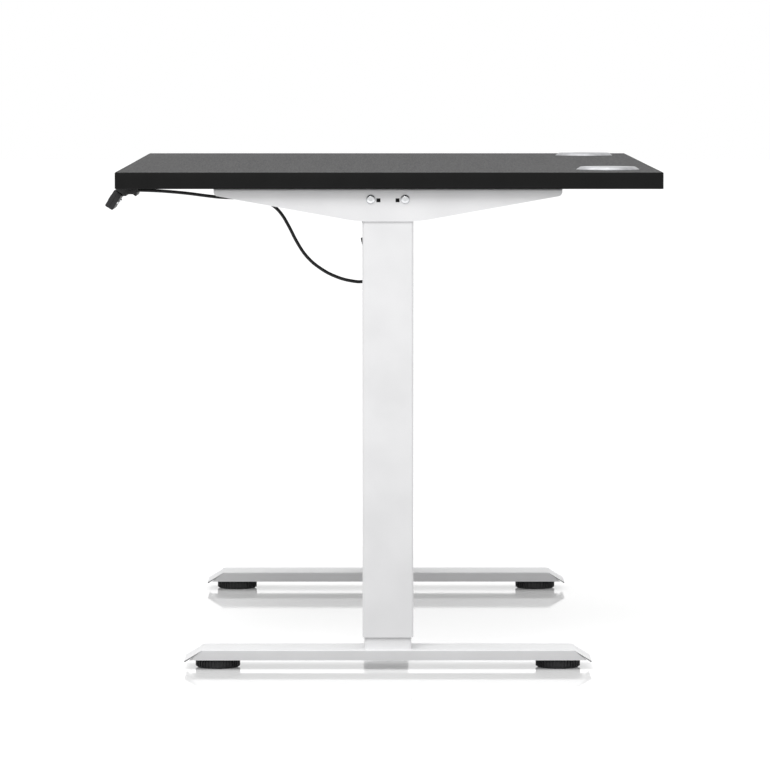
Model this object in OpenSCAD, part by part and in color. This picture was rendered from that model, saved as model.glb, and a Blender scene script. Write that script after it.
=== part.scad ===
// Height adjustable standing desk, shown at its lowest height.
// X runs along the width, -Y is the user's side, Z is up from the floor.

/* [Desktop] */
// Width of the desktop
top_w = 1219; // [1000:1:1500]
// Depth of the desktop
top_d = 762; // [600:1:915]
// Thickness of the desktop
top_t = 23; // [18:0.5:30]
// Thickness of the edge band
band_t = 2; // [1:0.5:3]
// Corner radius of the desktop
corner_r = 4; // [3.5:0.5:20]
// Height of the desktop's surface at the lowest position
low_h = 695; // [670:1:760]
// How far the desktop's middle lies behind the columns
top_shift = 1.6; // [-10:0.1:20]

/* [Columns] */
// Travel between the lowest and the highest position
stroke = 460; // [380:1:470]
// Side of the square outer tube
outer_s = 71; // [70.5:0.5:86]
// Wall of the outer tube
outer_wall = 1.5; // [1.2:0.1:1.8]
// Side of the square inner tube
inner_s = 65.4; // [54:0.1:65.8]
// Wall of the inner tube
inner_wall = 1.8; // [1.5:0.1:2.5]
// Corner radius outside both tubes
tube_r = 4; // [3:0.5:6]
// Gap between the foot and the outer tube at the lowest position
foot_gap = 16.5; // [8:0.5:30]
// Length of each slide bush
bush_l = 30; // [20:1:40]
// Gap between a slide bush and the tube that slides on it
bush_play = 0.3; // [0.2:0.05:0.5]

/* [Feet] */
// Length of a foot from tip to tip
foot_l = 569.7; // [480:0.1:690]
// Width of a foot
foot_w = 86; // [80:1:105]
// Height of the foot's top above the floor
foot_h = 28.4; // [26:0.1:34]
// Sheet thickness of a foot
foot_sheet = 2; // [1.5:0.1:2.5]
// Height of the foot's side walls
foot_side_h = 14; // [12:0.5:15]
// Length of the sloped end of the foot's top
foot_slope_l = 26.2; // [20:0.1:32]
// How far the top runs past the side walls
foot_lip = 6.6; // [4:0.1:9]
// How far the side walls lean in at their lower edges
side_lean = 2.6; // [0:0.1:4]
// Diameter of a levelling glide
glide_d = 62.4; // [50:0.1:72]
// Height of a levelling glide's disc
glide_h = 13; // [11:0.5:14]
// Distance from a foot's tip to its glide's axis
glide_inset = 46.25; // [40:0.05:60]
// Diameter of a glide's stud
stud_d = 8; // [6:1:10]

/* [Side brackets] */
// Distance from the desktop's end to the bracket's outer face
end_inset = 14.5; // [5:0.5:40]
// Length of a side bracket
bracket_l = 485; // [400:1:560]
// Height of a bracket at its ends
bracket_end_h = 9.5; // [8:0.5:12]
// Height of a bracket at the column
bracket_mid_h = 45.5; // [42:0.5:52]
// Angle of the bracket's lower edge
bracket_slope = 10.2; // [10:0.1:12]
// Sheet thickness of a bracket
bracket_sheet = 2.1; // [1.5:0.1:3]
// Width of the flange under the desktop
flange_w = 60; // [50:1:72]

/* [Frame bolts] */
// Thread diameter
bolt_d = 6; // [5:1:6]
// Head diameter
bolt_head_d = 13.2; // [10:0.1:14]
// Head height
bolt_head_h = 3.3; // [2.5:0.1:4]
// Distance between the two bolts on a column, and between the rails
bolt_pitch = 47.8; // [46:0.1:50]
// Depth of the bolts below the desktop
bolt_drop = 14.5; // [13.5:0.1:16]
// Side of the square tool holes
tool_hole = 5.5; // [4:0.1:6]
// Distance between the two tool holes
tool_hole_pitch = 26.6; // [24:0.1:28]

/* [Crossbeam] */
// Side of a square rail tube
rail_s = 25; // [22:0.5:25]
// Wall of a rail tube
rail_wall = 1.5; // [1.2:0.1:2]
// Length over which the two halves of a rail overlap
rail_lap = 120; // [80:1:200]
// Thickness of the tongues on the columns
tongue_t = 3; // [2:0.5:3.5]
// Length of the tongues
tongue_l = 56; // [50:1:70]

/* [Drive] */
// Depth of the drive shaft below the desktop
shaft_drop = 44; // [44:0.5:48]
// Width across flats of the hexagonal drive shaft
hex_af = 8; // [6:0.5:9]
// Diameter of a lead screw
screw_d = 16; // [12:0.5:20]
// Pitch radius of the bevel gears
bevel_r = 15; // [13:0.5:15.5]
// Tooth width of the bevel gears
bevel_face = 8; // [6:0.5:9]
// Teeth of the gear on the drive shaft
gear_teeth = 30; // [28:1:30]
// Teeth of the motor's gear
pinion_teeth = 26; // [24:1:30]
// Tooth width of the motor's gears
gear_w = 10; // [8:1:14]
// Diameter of the motor
motor_d = 44; // [36:1:44]
// Length of the motor
motor_l = 84; // [70:1:120]
// Distance from the right column's axis to the motor's gears
motor_from_col = 155; // [120:1:200]

/* [Control box] */
// Length of the control box
box_l = 240; // [180:1:300]
// Width of the control box
box_w = 100; // [80:1:120]
// Height of the control box
box_h = 32; // [28:1:36]
// Wall of the control box
box_wall = 2; // [1.5:0.1:3]
// Distance from the right column's axis to the control box
box_from_col = 157; // [140:1:200]
// Distance from the column line to the control box
box_front = 50; // [44:1:60]

/* [Handset] */
// Width of the handset
handset_w = 105; // [95:1:120]
// Height of the handset's face
face_h = 26.4; // [24:0.1:30]
// Thickness of the handset
face_t = 12.8; // [12:0.1:15]
// Lean of the handset's face from the vertical
face_lean = 31.8; // [20:0.1:45]
// Distance from the right column's axis to the handset's middle
handset_from_col = 67; // [60:1:120]
// How far the handset stands out in front of the desktop
handset_reach = 17.1; // [15:0.1:20]
// Depth of the face's lower edge below the desktop
face_drop = 25; // [24:0.1:28]
// Side of the small square keys
key_s = 9; // [7:0.5:10]
// Width of the two wide keys
wide_key = 14; // [10:0.5:15]
// Travel of a key
key_travel = 0.8; // [0.5:0.1:0.9]

/* [Cable] */
// Diameter of the handset's cable
cable_d = 4.6; // [4.1:0.1:5.5]

/* [Grommets] */
// Diameter of a grommet's flange
grommet_d = 89; // [84:1:100]
// Diameter of a grommet's cap
cap_d = 70; // [60:1:74]
// Height of a grommet above the desktop
grommet_rise = 4.3; // [3.5:0.1:6]
// Diameter of the hole in the desktop
grommet_hole = 80; // [79:0.5:82]
// Depth of a grommet's seat in the desktop's surface
grommet_sink = 0.5; // [0.3:0.1:1]
// Distance of a grommet from the desktop's middle
grommet_x = 450; // [300:1:460]
// Distance of a grommet's middle from the back edge
grommet_back = 71; // [60:1:100]
// Width of the cable notch in a cap
notch_w = 24; // [14:1:30]

/* [Hidden] */

$fn = 48;
gap = 0.3;          // clearance between separate pieces
hole_play = 0.6;    // how much wider a screw's or bolt's through hole is
run_fit = 0.05;     // radial clearance of a running fit
eps = 0.01;         // overshoot of a cut

steel_white = "#DFDFDF";
black_top = "#3C3C3C";
black_band = "#242424";
black_plastic = "#303030";
bright_steel = "#C4C6C8";
pale_plastic = "#D8D6CF";
board_green = "#2F5B3A";

// The desk is centred in Y over the desktop and the handset together.
desk_y = handset_reach / 2;
col_y = desk_y - top_shift;
front_edge = top_shift - top_d / 2;
back_edge = top_shift + top_d / 2;
under = low_h - top_t;
col_x = top_w / 2 - end_inset - bracket_sheet - outer_s / 2;

outer_in = outer_s - 2 * outer_wall;
inner_in = inner_s - 2 * inner_wall;
outer_low = foot_h + foot_gap;
outer_high = under - bracket_sheet - gap;

shaft_z = under - shaft_drop;
hex_d = hex_af / cos(30);
hub_d = 14;
house_s = outer_in - 2 * gap;
house_high = outer_high - 1;
cavity_r = 24;
bearing_d = 42;
bearing_h = 12;
bevel_hub_d = 20;
journal_d = 12;
bevel_cone_low = shaft_z - bevel_r;
house_low = bevel_cone_low - 25;

nut_h = 32;
nut_flange_h = 4;
inner_high = house_low - 6;
nut_low = inner_high - nut_h;
screw_low = nut_low - stroke - 12;
plate_t = 6;

rail_y = bolt_pitch / 2;
rail_z = under - bolt_drop;
rail_in = rail_s - 2 * rail_wall;
rail_small = rail_in - 2 * gap;
rail_end = col_x - outer_s / 2 - gap;
tongue_y = rail_y - rail_s / 2 - gap;
tongue_bolts = [17, 42];
tool_hole_drop = 1.5;
tool_z = rail_z - tool_hole_drop;

gear_module = 1;
gear_distance = gear_module * (gear_teeth + pinion_teeth) / 2;
motor_z = shaft_z - gear_distance;
motor_x = col_x - motor_from_col;
case_wall = 2;
case_l = gear_w + 2 * (case_wall + gap);

box_x1 = col_x - box_from_col;
box_x0 = box_x1 - box_l;
box_split = under - box_h / 2;
ear_l = 14;
ear_t = 3;
port_y = 20;
port_drop = 9;

handset_x = col_x - handset_from_col;
face_low = [front_edge - handset_reach, under - face_drop];
shell_wall = 2;
shell_split = 6.2;
board_y = 7;
board_t = 1.6;
key_z = face_h / 2;
key_flange_t = 1;
key_flange_w = 1.2;
key_proud = 0.6;
screw_hole_d = 2.5;
case_screw_head_d = 5;
up_x = -36;
down_x = -18.5;
memory_1_x = 24;
memory_2_x = 38;
display_x = 2;
display_w = 24;
display_h = 12;
handset_screws = [-47.5, 47.5];
handset_post = 5.5;
handset_corner_r = 3;

wood_screw_d = 4;
wood_head_d = 9;
wood_head_h = 2.5;
wood_screw_l = 15;
bracket_screws = [-222, -110, 110, 222];
flange_screw_in = 48;
mount_screw_in = 18;
box_ear_screws = [14, 86];

grommet_y = back_edge - grommet_back;
liner_in = cap_d - 6;
cap_t = 2.6;
grommet_bevel = 5.5;

// The cable's route, from the handset to the control box, measured from the
// right column's axis and the desktop's underside.
cable_from = [
    [-57, -351, -4.5], [-57, -330, -5.2], [-57, -309, -6.5], [-57, -280, -9.2],
    [-57, -257, -12.2], [-57, -238, -14.3], [-57, -219, -15.2], [-57, -200, -16.1],
    [-57, -183, -18.2], [-57, -169, -22], [-57, -158, -29], [-57, -149, -39],
    [-57, -140, -54],
    [-57, -127, -79], [-57, -114, -98], [-57, -95, -114.5], [-57, -71, -127],
    [-57, -50, -132.5], [-58, -37, -133.5], [-61.5, -27, -131.5],
    [-67, -20, -126], [-72, -18.5, -117.5], [-75, -22, -106]
];
cable_to = [
    [-75, -32, -70], [-76, -32.3, -63], [-79.5, -32.8, -54.5], [-86, -35.5, -46],
    [-95, -41, -36.5], [-105, -50, -25], [-115, -60, -15], [-127, -68, -9.8],
    [-140, -70, -9], [-154, -70, -9]
];
connector_low = [-75, -22.5, -105.5];
connector_lean = 15.5;
connector_l = 36;
connector_s = 13;

// Smooth curve through points, with steps sub-points for each stretch.
function spline_point(a, b, c, d, t) =
    0.5 * (2 * b + (c - a) * t + (2 * a - 5 * b + 4 * c - d) * t * t
    + (3 * b - a - 3 * c + d) * t * t * t);
function spline(p, steps) = concat([
    for (i = [0:len(p) - 2], s = [0:steps - 1])
        spline_point(p[max(i - 1, 0)], p[i], p[i + 1], p[min(i + 2, len(p) - 1)], s / steps)
], [p[len(p) - 1]]);
function unit(v) = v / norm(v);
function tangent(p, i) = unit(p[min(i + 1, len(p) - 1)] - p[max(i - 1, 0)]);
// A side vector that stays square to the route without twisting.
function sides(p, i = 0, prev = [1, 0, 0]) =
    i == len(p) ? [] : let (t = tangent(p, i), u = unit(prev - (prev * t) * t))
        concat([u], sides(p, i + 1, u));
function arc(c, r, a0, a1, n) =
    [for (i = [0:n]) c + r * [cos(a0 + (a1 - a0) * i / n), sin(a0 + (a1 - a0) * i / n)]];

module at_columns() { translate([0, col_y, 0]) children(); }
module on_right() { at_columns() translate([col_x, 0, 0]) children(); }
module on_left() { at_columns() translate([-col_x, 0, 0]) children(); }
// The left side as the mirror image of the right.
module on_left_mirrored() { mirror([1, 0, 0]) on_right() children(); }

module rounded(w, d, r) {
    square([w - 2 * r, d], center = true);
    square([w, d - 2 * r], center = true);
    for (x = [-1, 1], y = [-1, 1]) translate([x * (w / 2 - r), y * (d / 2 - r)]) circle(r);
}
module tube_section(s, wall, r) {
    difference() {
        rounded(s, s, r);
        rounded(s - 2 * wall, s - 2 * wall, max(r - wall, 0.5));
    }
}
module tube(s, wall, r, low, high) {
    translate([0, 0, low]) linear_extrude(high - low) tube_section(s, wall, r);
}
// A sheet profile drawn in Y and Z, standing from x0 to x1.
module profile(x0, x1) {
    translate([x0, 0, 0]) rotate([90, 0, 90]) linear_extrude(x1 - x0) children();
}
module rod_x(x0, x1, d) { translate([x0, 0, 0]) rotate([0, 90, 0]) cylinder(x1 - x0, d = d); }

// ---- Desktop ----
module board_outline(inset) {
    translate([0, desk_y])
        rounded(top_w - 2 * inset, top_d - 2 * inset, corner_r - inset);
}
module at_grommets() {
    for (s = [-1, 1]) at_columns() translate([s * grommet_x, grommet_y, 0]) children();
}
module at_wood_screws() {
    for (s = [-1, 1], y = bracket_screws)
        at_columns() translate([s * (col_x + outer_s / 2 - flange_screw_in), y, under]) children();
    for (x = [box_x0 - ear_l / 2, box_x1 + ear_l / 2], y = box_ear_screws)
        at_columns() translate([x, -box_front - y, under]) children();
    for (s = [-1, 1])
        at_columns() translate([handset_x + s * handset_w / 4, front_edge + mount_screw_in, under])
            children();
}
module desktop_board() {
    color(black_top) difference() {
        translate([0, 0, under]) linear_extrude(top_t) board_outline(band_t);
        at_grommets() translate([0, 0, under - eps])
            cylinder(top_t + 2 * eps, d = grommet_hole);
        at_grommets() translate([0, 0, low_h - grommet_sink])
            cylinder(grommet_sink + eps, d = grommet_d + 2 * gap, $fn = 96);
        at_wood_screws() cylinder(wood_screw_l - 2, d = wood_screw_d);
    }
}
module desktop_edge_band() {
    color(black_band) translate([0, 0, under]) linear_extrude(top_t) difference() {
        board_outline(0);
        board_outline(band_t);
    }
}

// ---- Grommets: a flanged liner, and a cap that turns in it ----
module grommet_liner() {
    color(bright_steel) translate([0, grommet_y, low_h]) rotate_extrude($fn = 96) polygon([
        [grommet_d / 2, -grommet_sink], [grommet_d / 2, 0],
        [grommet_d / 2 - grommet_bevel, grommet_rise], [cap_d / 2 + gap, grommet_rise],
        [cap_d / 2 + gap, grommet_rise - cap_t - gap], [liner_in / 2, grommet_rise - cap_t - gap],
        [liner_in / 2, -top_t + 1], [grommet_hole / 2 - gap, -top_t + 1],
        [grommet_hole / 2 - gap, -grommet_sink]
    ]);
}
module grommet_cap() {
    color(bright_steel) translate([0, grommet_y, low_h + grommet_rise - cap_t])
        difference() {
            union() {
                cylinder(cap_t - 0.4, d = cap_d, $fn = 96);
                translate([0, 0, cap_t - 0.4])
                    cylinder(0.4, d = cap_d - 1.2, $fn = 96);
                translate([0, 0, -5]) difference() {
                    cylinder(5 + eps, d = liner_in - 2 * gap);
                    translate([0, 0, -eps]) cylinder(6, d = liner_in - 4);
                }
            }
            translate([-notch_w / 2, -cap_d, -6])
                cube([notch_w, cap_d - cap_d / 2 + 20, 12]);
        }
}

// ---- Side brackets ----
slope_run = (bracket_mid_h - bracket_end_h) / tan(bracket_slope);
bend_y = bracket_l / 2 - slope_run;
bend_r = 160;
bend_run = bend_r * tan(bracket_slope / 2);
tip_r = 6;
function bracket_half(s) = [for (p = concat(
    [[bracket_l / 2, 0]],
    arc([bracket_l / 2 - tip_r, -bracket_end_h + tip_r], tip_r, 0, -90 + bracket_slope, 6),
    arc([bend_y - bend_run, bend_r - bracket_mid_h], bend_r, -90 + bracket_slope, -90, 6)
)) [s * p[0], p[1]]];
module side_bracket() {
    face = outer_s / 2;
    flip = bracket_half(-1);
    color(steel_white) difference() {
        translate([0, 0, under]) union() {
            profile(face, face + bracket_sheet)
                polygon(concat(bracket_half(1), [for (i = [len(flip) - 1:-1:0]) flip[i]]));
            translate([face + bracket_sheet - flange_w, -bracket_l / 2, -bracket_sheet])
                cube([flange_w, bracket_l, bracket_sheet]);
        }
        for (s = [-1, 1]) {
            translate([0, s * rail_y, rail_z]) rod_x(face - 1, face + 4, bolt_d + hole_play);
            translate([face - 1, s * tool_hole_pitch / 2 - tool_hole / 2,
                tool_z - tool_hole / 2]) cube([5, tool_hole, tool_hole]);
        }
        for (y = bracket_screws) translate([face - flange_screw_in, y, under - bracket_sheet - eps])
            cylinder(bracket_sheet + 2 * eps, d = wood_screw_d + hole_play);
    }
}

// ---- Fasteners ----
// A flanged button-head bolt with a hexagon socket, its head's seat at z = 0.
module button_bolt(l) {
    difference() {
        union() {
            translate([0, 0, -l]) cylinder(l, d = bolt_d);
            cylinder(bolt_flange_h, d = bolt_head_d);
            translate([0, 0, bolt_flange_h])
                cylinder(bolt_head_h - bolt_flange_h, d1 = bolt_head_d - 2, d2 = bolt_head_d - 6);
        }
        translate([0, 0, bolt_head_h - 2]) cylinder(3, d = bolt_key / cos(30), $fn = 6);
    }
}
bolt_flange_h = 0.9;
bolt_key = 4;
side_bolt_l = 16;
rail_bolt_l = rail_s + gap + tongue_t;
motor_bolt_l = 12;
module frame_bolts() {
    color(bright_steel) {
        for (m = [0, 1], s = [-1, 1]) mirror([m, 0, 0]) {
            on_right() translate([outer_s / 2 + bracket_sheet, s * rail_y, rail_z])
                rotate([0, 90, 0]) button_bolt(side_bolt_l);
            for (d = tongue_bolts)
                on_right() translate([-outer_s / 2 - d, s * (rail_y + rail_s / 2), rail_z])
                    rotate([-90 * s, 0, 0]) button_bolt(rail_bolt_l);
        }
        for (s = [-1, 1]) at_columns() translate([motor_x, s * rail_y, ear_low])
            rotate([180, 0, 0]) button_bolt(motor_bolt_l);
    }
}
// A pan-head screw with a cross recess, driven upwards into the desktop.
module wood_screw(grip) {
    translate([0, 0, -grip - wood_head_h]) difference() {
        union() {
            cylinder(wood_head_h, d1 = wood_head_d - 3, d2 = wood_head_d);
            cylinder(grip + wood_head_h + wood_screw_l - 2, d = wood_screw_d);
        }
        for (a = [0, 90]) rotate(a) translate([-2, -0.5, -eps]) cube([4, 1, 1.5]);
    }
}
mount_grip = 5;
module wood_screws() {
    color(bright_steel) {
        for (s = [-1, 1], y = bracket_screws) at_columns()
            translate([s * (col_x + outer_s / 2 - flange_screw_in), y, under]) wood_screw(bracket_sheet);
        for (x = [box_x0 - ear_l / 2, box_x1 + ear_l / 2], y = box_ear_screws)
            at_columns() translate([x, -box_front - y, under]) wood_screw(ear_t);
        for (s = [-1, 1]) at_columns()
            translate([handset_x + s * handset_w / 4, front_edge + mount_screw_in, under])
                wood_screw(mount_grip);
    }
}

// ---- Columns ----
// inner_side is -1 where the crossbeam lies towards -X.
module outer_tube(inner_side) {
    color(steel_white) {
        difference() {
            tube(outer_s, outer_wall, tube_r, outer_low, outer_high);
            for (s = [-1, 1]) translate([-inner_side * outer_s / 2, s * rail_y, rail_z])
                rod_x(-5, 5, bolt_d + hole_play);
            for (s = [-1, 1]) translate([-inner_side * outer_s / 2 - 5,
                s * tool_hole_pitch / 2 - tool_hole / 2, tool_z - tool_hole / 2])
                cube([10, tool_hole, tool_hole]);
            translate([inner_side * outer_s / 2, 0, shaft_z]) rod_x(-5, 5, hub_d + 2);
        }
        for (s = [-1, 1]) difference() {
            translate([inner_side < 0 ? -outer_s / 2 - tongue_l : outer_s / 2 - 1,
                s * (tongue_y - tongue_t / 2) - tongue_t / 2, rail_z - rail_s / 2])
                cube([tongue_l + 1, tongue_t, rail_s]);
            translate([(outer_wall - outer_s) / 2, -outer_s / 2, 0])
                cube([outer_s - outer_wall, outer_s, under]);
            for (d = tongue_bolts)
                translate([inner_side * (outer_s / 2 + d), s * (tongue_y - tongue_t / 2), rail_z])
                    rotate([90, 0, 0]) cylinder(2 * tongue_t, d = bolt_d, center = true);
        }
    }
}
module lower_bush() {
    // a plastic ring in the mouth of the outer tube
    color(pale_plastic) tube(outer_in - 2 * gap,
        (outer_in - inner_s) / 2 - gap - bush_play, tube_r - outer_wall,
        outer_low + 1, outer_low + 1 + bush_l);
}
module inner_tube() {
    color(steel_white) {
        tube(inner_s, inner_wall, tube_r, foot_h, inner_high);
        translate([0, 0, foot_h]) linear_extrude(plate_t) difference() {
            rounded(inner_in + 0.2, inner_in + 0.2, tube_r - inner_wall);
            at_foot_bolts() circle(d = bolt_d);
            circle(d = 12);
        }
    }
}
module upper_bush() {
    // a plastic collar round the head of the inner tube
    color(pale_plastic) tube(outer_in - 2 * bush_play,
        (outer_in - inner_s) / 2 - bush_play - gap, tube_r - outer_wall,
        inner_high - bush_l - 8, inner_high - 1);
}
module lead_nut() {
    // fixed in the head of the inner tube
    color(pale_plastic) difference() {
        union() {
            translate([0, 0, nut_low]) linear_extrude(nut_h - nut_flange_h)
                rounded(inner_in - 2 * gap, inner_in - 2 * gap, tube_r - inner_wall);
            translate([0, 0, inner_high + gap]) linear_extrude(nut_flange_h)
                rounded(inner_s - 1, inner_s - 1, tube_r - 0.5);
            translate([0, 0, nut_low]) cylinder(nut_h + gap, d = 40);
        }
        translate([0, 0, nut_low - 1])
            cylinder(nut_h + nut_flange_h + 3, d = screw_d + 2 * run_fit);
    }
}

// ---- Gearbox in the head of each column ----
module gearbox(outer_side) {
    color(black_plastic) difference() {
        translate([0, 0, house_low]) linear_extrude(house_high - house_low)
            rounded(house_s, house_s, tube_r - outer_wall);
        translate([0, 0, house_low - eps]) cylinder(bearing_h + eps, d = bearing_d);
        translate([0, 0, house_low]) cylinder(20, d = bevel_hub_d + 6);
        translate([0, 0, house_low + bearing_h + 4])
            cylinder(shaft_z + bevel_r + 3 - house_low - bearing_h - 4, r = cavity_r);
        translate([0, 0, shaft_z]) rod_x(-house_s, 0, hub_d + 2 * run_fit);
        translate([0, 0, shaft_z]) rod_x(0, house_s, hex_d + 2);
        for (s = [-1, 1]) translate([outer_side * house_s / 2, s * rail_y, rail_z])
            rod_x(-14, 14, bolt_d);
        for (s = [-1, 1]) translate([outer_side * house_s / 2 - 6,
            s * tool_hole_pitch / 2 - tool_hole / 2, tool_z - tool_hole / 2])
            cube([12, tool_hole, tool_hole]);
    }
}
module screw_bearings() {
    color(bright_steel) for (s = [-1, 1]) at_columns() translate([s * col_x, 0, house_low])
        difference() {
            cylinder(bearing_h, d = bearing_d);
            translate([0, 0, -eps]) cylinder(bearing_h + 1, d = bevel_hub_d + 2 * run_fit);
        }
}
// A bevel gear's blank along +Z: its pitch cone ends at z = 0, where the axes would meet.
module bevel_blank() {
    translate([0, 0, -bevel_r]) cylinder(bevel_face, r1 = bevel_r - gap, r2 = bevel_r - gap - bevel_face);
}
module screw_bevel() {
    color(bright_steel) difference() {
        union() {
            translate([0, 0, shaft_z]) bevel_blank();
            translate([0, 0, house_low]) cylinder(25 + eps, d = bevel_hub_d);
        }
        translate([0, 0, house_low - 1]) cylinder(60, d = journal_d);
    }
}
module lead_screw() {
    color(bright_steel) {
        translate([0, 0, screw_low]) cylinder(house_low - screw_low, d = screw_d);
        translate([0, 0, house_low - 1])
            cylinder(26 + bevel_face, d = journal_d);
    }
}
module bevel_pinions() {
    color(bright_steel) for (s = [-1, 1]) at_columns() translate([s * col_x, 0, shaft_z])
        rotate([0, 90, 0]) difference() {
            union() {
                bevel_blank();
                translate([0, 0, -house_s / 2 + gap])
                    cylinder(house_s / 2 - bevel_r - gap + eps, d = hub_d);
            }
            translate([0, 0, -house_s]) cylinder(house_s, d = hex_d, $fn = 6);
        }
}
module drive_shaft() {
    color(bright_steel) at_columns() translate([-col_x - house_s / 2 + gap, 0, shaft_z])
        rotate([0, 90, 0]) cylinder(2 * col_x + house_s - 4 * gap, d = hex_d, $fn = 6);
}

// ---- Motor: a gear pair in a case under the rails ----
module spur_outline(teeth, turn) {
    pitch_r = gear_module * teeth / 2;
    rotate(turn) {
        circle(pitch_r - 1);
        for (i = [0:teeth - 1]) rotate(360 * i / teeth)
            polygon([[pitch_r - 1.5, -0.85], [pitch_r + 0.75, -0.35],
                [pitch_r + 0.75, 0.35], [pitch_r - 1.5, 0.85]]);
    }
}
module shaft_gear() {
    color(pale_plastic) at_columns() translate([motor_x - gear_w / 2, 0, shaft_z])
        rotate([90, 0, 90]) linear_extrude(gear_w) difference() {
            spur_outline(gear_teeth, 90);
            rotate(30) circle(d = hex_d, $fn = 6);
        }
}
module motor_pinion() {
    color(bright_steel) at_columns() translate([0, 0, motor_z]) {
        translate([motor_x - gear_w / 2, 0, 0]) rotate([90, 0, 90])
            linear_extrude(gear_w) spur_outline(pinion_teeth, 90 + 180 / pinion_teeth);
        rod_x(motor_x - case_l / 2 - motor_l + 8, motor_x + case_l / 2 - 0.5, motor_shaft_d);
    }
}
motor_shaft_d = 8;
motor_ear_t = 5;
motor_ear_run = 9;
ear_low = rail_z - rail_s / 2 - gap - motor_ear_t;
module case_outline(grow) {
    hull() {
        translate([0, shaft_z]) circle(gear_teeth / 2 + 1.2 + grow, $fn = 64);
        translate([0, motor_z]) circle(motor_d / 2 - 2 + grow, $fn = 64);
    }
}
module motor_gear_case() {
    color(black_plastic) at_columns() difference() {
        union() {
            profile(motor_x - case_l / 2, motor_x + case_l / 2) case_outline(case_wall);
            translate([motor_x - case_l / 2, -rail_y - motor_ear_run, ear_low])
                cube([case_l, 2 * (rail_y + motor_ear_run), motor_ear_t]);
        }
        profile(motor_x - case_l / 2 + case_wall, motor_x + case_l / 2 - case_wall)
            case_outline(0);
        translate([0, 0, shaft_z]) rod_x(motor_x - 20, motor_x + 20, hex_d + 1);
        translate([0, 0, motor_z])
            rod_x(motor_x - 20, motor_x + case_l / 2 + 1, motor_shaft_d + 2 * run_fit);
        for (s = [-1, 1]) translate([motor_x, s * rail_y, ear_low - 1])
            cylinder(8, d = bolt_d + hole_play);
    }
}
motor_cap_h = 4;
module motor_can() {
    color(black_plastic) at_columns() translate([0, 0, motor_z]) difference() {
        x1 = motor_x - case_l / 2 - gap;
        union() {
            rod_x(x1 - motor_l + motor_cap_h, x1, motor_d);
            translate([x1 - motor_l, 0, 0]) rotate([0, 90, 0])
                cylinder(motor_cap_h, d1 = motor_d - 6, d2 = motor_d);
            // the socket for the motor's lead
            translate([x1 - motor_l - 10, -8, -6]) cube([14, 16, 12]);
        }
        rod_x(x1 - motor_l + 6, x1 + 1, motor_shaft_d + 2 * run_fit);
        rod_x(x1 - motor_l + 12, x1 - 4, motor_d - 6);
        translate([x1 - motor_l - 11, -6, -4]) cube([9, 12, 8]);
    }
}

// ---- Crossbeam rails ----
module rail_half(size, wall, x0, x1, bolts) {
    color(steel_white) difference() {
        translate([x0, 0, rail_z]) rotate([90, 0, 90]) linear_extrude(x1 - x0)
            tube_section(size, wall, 1.8);
        for (x = bolts) translate([x, 0, rail_z]) rotate([90, 0, 0])
            cylinder(2 * rail_s, d = bolt_d, center = true);
        translate([motor_x, 0, rail_z - rail_s]) cylinder(rail_s, d = bolt_d);
    }
}
module rail_right(side) {
    at_columns() translate([0, side * rail_y, 0])
        rail_half(rail_s, rail_wall, -rail_lap / 2, rail_end,
            [for (d = tongue_bolts) col_x - outer_s / 2 - d]);
}
module rail_left(side) {
    // the last stretch is sleeved to the full size, where the column's tongue holds it
    at_columns() translate([0, side * rail_y, 0]) difference() {
        union() {
            rail_half(rail_small, rail_wall, -rail_end, rail_lap / 2,
                [for (d = tongue_bolts) -col_x + outer_s / 2 + d]);
            color(steel_white) translate([-rail_end, 0, rail_z]) rotate([90, 0, 90])
                linear_extrude(tongue_l + 10) tube_section(rail_s, rail_wall + gap + 0.1, 1.8);
        }
        for (d = tongue_bolts) translate([-col_x + outer_s / 2 + d, 0, rail_z])
            rotate([90, 0, 0]) cylinder(2 * rail_s, d = bolt_d, center = true);
    }
}

// ---- Control box in front of the rails ----
box_post = 8;
box_post_in = 12;
box_corner_r = 6;
module at_box_posts() {
    for (x = [box_x0 + box_post_in, box_x1 - box_post_in], y = [box_post_in, box_w - box_post_in])
        translate([x, -box_front - y, 0]) children();
}
module box_outline(inset) {
    translate([(box_x0 + box_x1) / 2, -box_front - box_w / 2])
        rounded(box_l - 2 * inset, box_w - 2 * inset, box_corner_r - inset);
}
module control_box_base() {
    color(black_plastic) at_columns() difference() {
        union() {
            difference() {
                translate([0, 0, box_split + gap])
                    linear_extrude(under - gap - box_split - gap) box_outline(0);
                translate([0, 0, box_split]) linear_extrude(box_h / 2 - gap - box_wall)
                    box_outline(box_wall);
            }
            at_box_posts() translate([0, 0, box_split + gap])
                cylinder(box_h / 2 - 2 * gap, d = box_post);
            for (x = [box_x0 - ear_l, box_x1 - 4]) translate([x, -box_front - box_w, under - ear_t])
                cube([ear_l + 4, box_w, ear_t - gap]);
        }
        at_box_posts() translate([0, 0, box_split]) cylinder(10, d = screw_hole_d);
        for (x = [box_x0 - ear_l / 2, box_x1 + ear_l / 2], y = box_ear_screws)
            translate([x, -box_front - y, under - 5]) cylinder(6, d = wood_screw_d + hole_play);
        // the handset's port, the motor's port and the mains inlet
        translate([box_x1, -box_front - port_y, under - port_drop])
            rod_x(-6, 6, cable_d);
        translate([box_x1 - 5, -box_front - 62, box_split + 2]) cube([10, 14, 8]);
        translate([box_x0 - 5, -box_front - 70, box_split + 1.5]) cube([10, 27, 10]);
    }
}
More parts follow.
